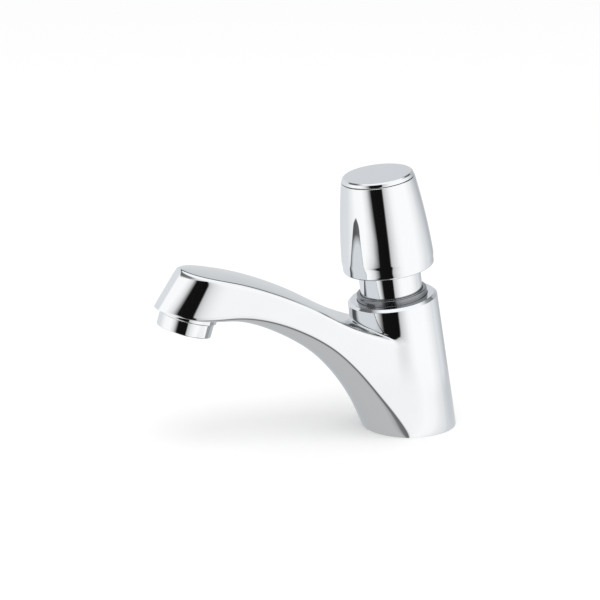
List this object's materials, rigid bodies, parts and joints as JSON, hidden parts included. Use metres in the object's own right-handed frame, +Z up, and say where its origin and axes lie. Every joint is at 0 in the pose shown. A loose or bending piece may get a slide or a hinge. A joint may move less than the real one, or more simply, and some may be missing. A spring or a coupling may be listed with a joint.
{
  "type": "self-closing basin pillar tap",
  "caption": "Self-closing push basin tap: leaning round body, curved spout with a tilted round outlet, hollow push knob and a threaded tail with deck fixings.",
  "frame": {"origin": "centre of the round base where it stands on the basin deck", "axes": "+Z up from the deck, spout reaching out along -Y, +X to the side"},
  "size_m": [0.046, 0.1496, 0.1851],
  "materials": {
    "chrome_brass": "polished chrome plate on cast and turned brass",
    "raw_brass": "machined",
    "stainless": "fine turned",
    "spring_steel": "drawn wire",
    "black_rubber": "matte",
    "acetal_white": "moulded",
    "acetal_grey": "moulded"
  },
  "bodies": {
    "tap": {"tap_body": "chrome_brass", "guide_sleeve": "chrome_brass", "guide_bush": "acetal_white", "spindle_seal": "black_rubber", "retaining_nut": "chrome_brass", "valve_seat": "raw_brass", "seat_seal": "black_rubber", "cartridge_housing": "acetal_grey", "housing_seal": "black_rubber", "return_spring": "spring_steel", "aerator_housing": "chrome_brass", "aerator_insert": "acetal_grey", "aerator_screen": "stainless", "aerator_washer": "black_rubber", "inlet_shank": "raw_brass", "inlet_filter": "acetal_white", "tail_washer": "black_rubber", "base_gasket": "black_rubber", "rubber_washer": "black_rubber", "clamp_plate": "stainless", "backnut": "raw_brass"},
    "push_group": {"knob_shell": "chrome_brass", "knob_top_disc": "chrome_brass", "knob_screw": "stainless", "spindle": "stainless", "spring_cup": "acetal_grey", "timing_piston": "acetal_white", "cup_seal": "black_rubber", "piston_circlip": "spring_steel", "valve_washer": "black_rubber", "valve_holder": "raw_brass", "valve_nut": "raw_brass"}
  },
  "joints": [
    {"name": "push", "type": "slide", "parent": "tap", "child": "push_group", "axis": [0, 0.1357, -0.9907], "range_m": [0, 0.007], "stiffness_N_per_m": 1350, "springref_m": -0.009, "deforming": ["return_spring"]}
  ]
}
